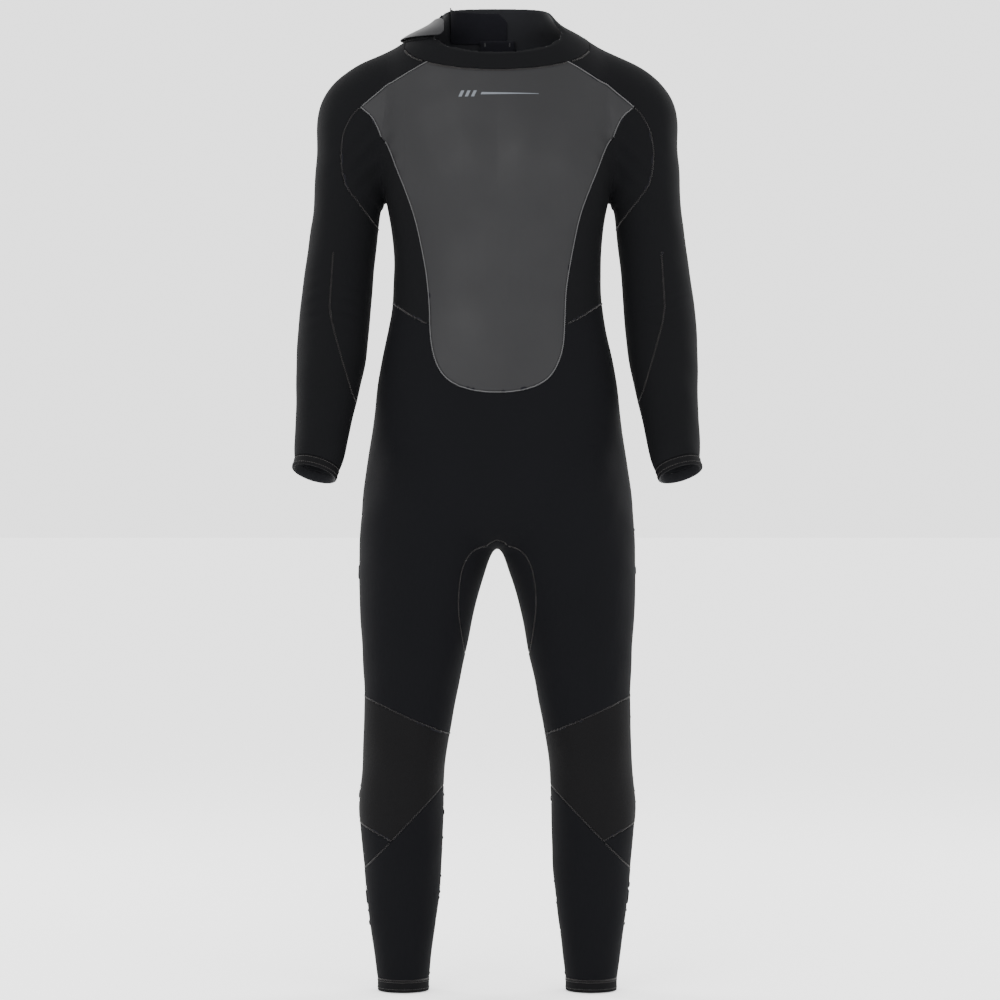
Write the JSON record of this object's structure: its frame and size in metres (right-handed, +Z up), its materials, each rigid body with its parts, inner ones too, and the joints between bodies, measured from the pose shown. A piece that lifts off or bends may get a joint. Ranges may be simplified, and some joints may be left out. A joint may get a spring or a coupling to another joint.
{
  "type": "full wetsuit",
  "caption": "Full-length neoprene wetsuit with smooth chest panel, raglan sleeves, padded knees, back zip and collar strap, shaped as worn.",
  "frame": {"origin": "centre of the neck opening, where a wearer, bust or hanger holds the suit", "axes": "+Z up, the wearer facing -Y, the wearer's left towards +X"},
  "size_m": [0.5992, 0.2379, 1.4564],
  "materials": {
    "smooth_skin": "smooth glide-skin neoprene, semi-matte",
    "jersey_black": "black stretch jersey over neoprene",
    "jersey_legs": "blue-black stretch jersey over neoprene",
    "knee_armour": "hard-wearing ribbed jersey, matte",
    "hem_band": "folded and stitched hem",
    "lining": "brushed stretch lining",
    "loop_fabric": "fuzzy loop fastener",
    "hook_plastic": "moulded hook fastener",
    "grip_skin": "smooth grey glide-skin tab",
    "zip_fabric": "woven zip tape",
    "zip_plastic": "black nylon coil",
    "zip_metal": "nickel-plated zip slider and pull"
  },
  "bodies": {
    "suit": {"chest_panel": "smooth_skin", "collar": "jersey_black", "front_panel": "jersey_legs", "seat_panel": "jersey_legs", "crotch_gusset": "jersey_legs", "zip_bottom_stop": "zip_plastic", "zip_flap": "lining", "neck_flap": "lining", "loop_patch": "loop_fabric", "strap_base": "jersey_black", "back_panel_left": "jersey_black", "back_panel_right": "jersey_black", "side_panel_left": "jersey_black", "side_panel_right": "jersey_black", "shoulder_panel_left": "jersey_black", "shoulder_panel_right": "jersey_black", "inner_sleeve_left": "jersey_black", "inner_sleeve_right": "jersey_black", "elbow_band_left": "jersey_black", "elbow_band_right": "jersey_black", "knee_pad_left": "knee_armour", "knee_pad_right": "knee_armour", "knee_back_left": "jersey_legs", "knee_back_right": "jersey_legs", "zip_tape_left": "zip_fabric", "zip_tape_right": "zip_fabric", "zip_coil_left": "zip_plastic", "zip_coil_right": "zip_plastic", "zip_top_stop_left": "zip_plastic", "zip_top_stop_right": "zip_plastic"},
    "collar_strap": {"collar_strap": "jersey_black", "hook_patch": "hook_plastic", "strap_grip": "grip_skin"},
    "zip_slider": {"zip_slider": "zip_metal"},
    "zip_puller": {"zip_puller": "zip_metal"},
    "forearm_left": {"forearm_panel_left": "jersey_black", "wrist_hem_left": "hem_band"},
    "shin_left": {"shin_panel_left": "jersey_legs", "calf_panel_left": "jersey_legs", "ankle_hem_left": "hem_band"},
    "forearm_right": {"forearm_panel_right": "jersey_black", "wrist_hem_right": "hem_band"},
    "shin_right": {"shin_panel_right": "jersey_legs", "calf_panel_right": "jersey_legs", "ankle_hem_right": "hem_band"}
  },
  "joints": [
    {"name": "elbow_left", "type": "hinge", "parent": "suit", "child": "forearm_left", "pos_m": [0.239, 0.003, -0.407], "axis": [-1, 0, 0], "range_deg": [0, 90], "stiffness_Nm_per_rad": 0.8, "deforming": ["elbow_band_left"]},
    {"name": "elbow_right", "type": "hinge", "parent": "suit", "child": "forearm_right", "pos_m": [-0.239, 0.003, -0.407], "axis": [-1, 0, 0], "range_deg": [0, 90], "stiffness_Nm_per_rad": 0.8, "deforming": ["elbow_band_right"]},
    {"name": "knee_left", "type": "hinge", "parent": "suit", "child": "shin_left", "pos_m": [0.1385, 0, -1.1], "axis": [1, 0, 0], "range_deg": [0, 90], "stiffness_Nm_per_rad": 0.8, "deforming": ["knee_pad_left", "knee_back_left"]},
    {"name": "knee_right", "type": "hinge", "parent": "suit", "child": "shin_right", "pos_m": [-0.1385, 0, -1.1], "axis": [1, 0, 0], "range_deg": [0, 90], "stiffness_Nm_per_rad": 0.8, "deforming": ["knee_pad_right", "knee_back_right"]},
    {"name": "collar_strap_peel", "type": "hinge", "parent": "suit", "child": "collar_strap", "pos_m": [0, 0.0849, -0.005], "axis": [-0.2036, 0, -0.9791], "range_deg": [0, 100]},
    {"name": "zip_travel", "type": "hinge", "parent": "suit", "child": "zip_slider", "pos_m": [0, -0.795, -0.23], "axis": [-1, 0, 0], "range_deg": [0, 23.5]},
    {"name": "puller_swing", "type": "hinge", "parent": "zip_slider", "child": "zip_puller", "pos_m": [0, 0.08964, -0.04104], "axis": [1, 0, 0], "range_deg": [0, 95]}
  ]
}
